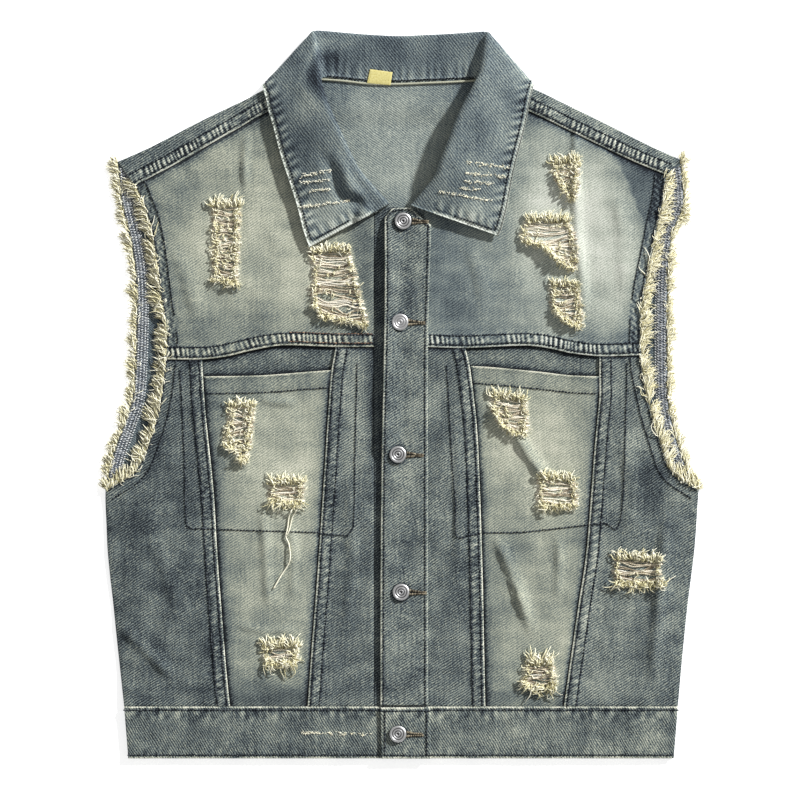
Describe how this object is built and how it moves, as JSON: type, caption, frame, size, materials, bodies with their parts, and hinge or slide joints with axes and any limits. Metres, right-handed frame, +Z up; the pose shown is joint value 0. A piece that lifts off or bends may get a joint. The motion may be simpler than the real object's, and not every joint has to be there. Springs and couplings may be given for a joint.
{
  "type": "sleeveless denim vest",
  "caption": "Sleeveless denim vest laid flat and buttoned, with a rolled collar, yokes, tapered pocket panels, raw frayed armholes and worn holes.",
  "frame": {"origin": "on the surface that the vest lies on, under the middle of its back", "axes": "+X to the wearer's left, +Y from hem to collar, +Z up out of the front"},
  "size_m": [0.5746, 0.6988, 0.0214],
  "materials": {
    "washed_denim": "washed twill",
    "faded_denim": "sun-faded twill",
    "dark_denim": "unfaded twill",
    "denim_inside": "pale weft side",
    "frayed_thread": "loose cotton",
    "label_tape": "woven tape",
    "button_metal": "worn nickel"
  },
  "bodies": {
    "root": {"back": "denim_inside", "button_1": "button_metal", "button_2": "button_metal", "button_3": "button_metal", "button_4": "button_metal", "button_5": "button_metal", "button_stand": "washed_denim", "centre_l": "washed_denim", "centre_r": "washed_denim", "collar": "washed_denim", "fringe_back_l": "frayed_thread", "fringe_back_r": "frayed_thread", "fringe_front_l": "frayed_thread", "fringe_front_r": "frayed_thread", "neck_label": "label_tape", "placket": "washed_denim", "pocket_facing_l": "dark_denim", "pocket_facing_r": "dark_denim", "pocket_l": "faded_denim", "pocket_r": "faded_denim", "rip_01": "frayed_thread", "rip_02": "frayed_thread", "rip_03": "frayed_thread", "rip_04": "frayed_thread", "rip_05": "frayed_thread", "rip_06": "frayed_thread", "rip_07": "frayed_thread", "rip_08": "frayed_thread", "rip_09": "frayed_thread", "rip_10": "frayed_thread", "rip_11": "frayed_thread", "rip_12": "frayed_thread", "shoulder_l": "washed_denim", "shoulder_r": "washed_denim", "side_l": "washed_denim", "side_r": "washed_denim", "waistband_back": "washed_denim", "waistband_end": "washed_denim", "waistband_front_l": "washed_denim", "waistband_front_r": "washed_denim", "yoke_l": "faded_denim", "yoke_r": "faded_denim"}
  },
  "joints": []
}
